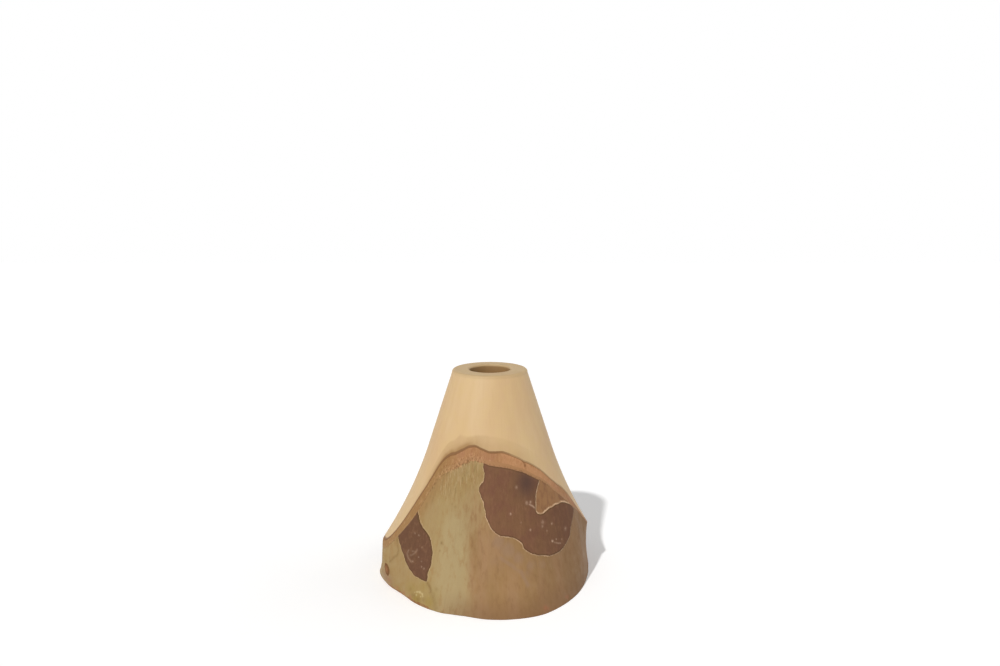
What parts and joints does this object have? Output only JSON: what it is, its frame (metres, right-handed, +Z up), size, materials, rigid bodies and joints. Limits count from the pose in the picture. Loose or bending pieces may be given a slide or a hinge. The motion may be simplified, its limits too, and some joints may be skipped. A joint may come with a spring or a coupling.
{
  "type": "wooden bud vase",
  "caption": "Turned pale wood bud vase: a flaring cone with natural bark left round its foot, and a lift-out glass tube in its bore.",
  "frame": {"origin": "centre of the turning axis on the flat base", "axes": "+Z up along the turning axis and bore; -Y towards the front, where the bark rises to its arch; +X to the right seen from the front"},
  "size_m": [0.1402, 0.1348, 0.137],
  "materials": {
    "turned_wood": "matte, finely sanded pale wood",
    "inner_bark": "matte, cut orange-brown inner bark",
    "smooth_bark": "satin, smooth olive-tan bark",
    "bark_flake": "matte, dark brown old bark",
    "knot": "matte, red-brown twig stub",
    "glass": "clear, smooth"
  },
  "bodies": {
    "vase": {"wood_body": "turned_wood", "inner_bark": "inner_bark", "smooth_bark": "smooth_bark", "bark_flake_left": "bark_flake", "bark_flake_right": "bark_flake", "pin_knot": "knot"},
    "tube": {"glass_tube": "glass"}
  },
  "joints": [
    {"name": "tube_lift", "type": "slide", "parent": "vase", "child": "tube", "axis": [0, 0, 1], "range_m": [0, 0.115]}
  ]
}
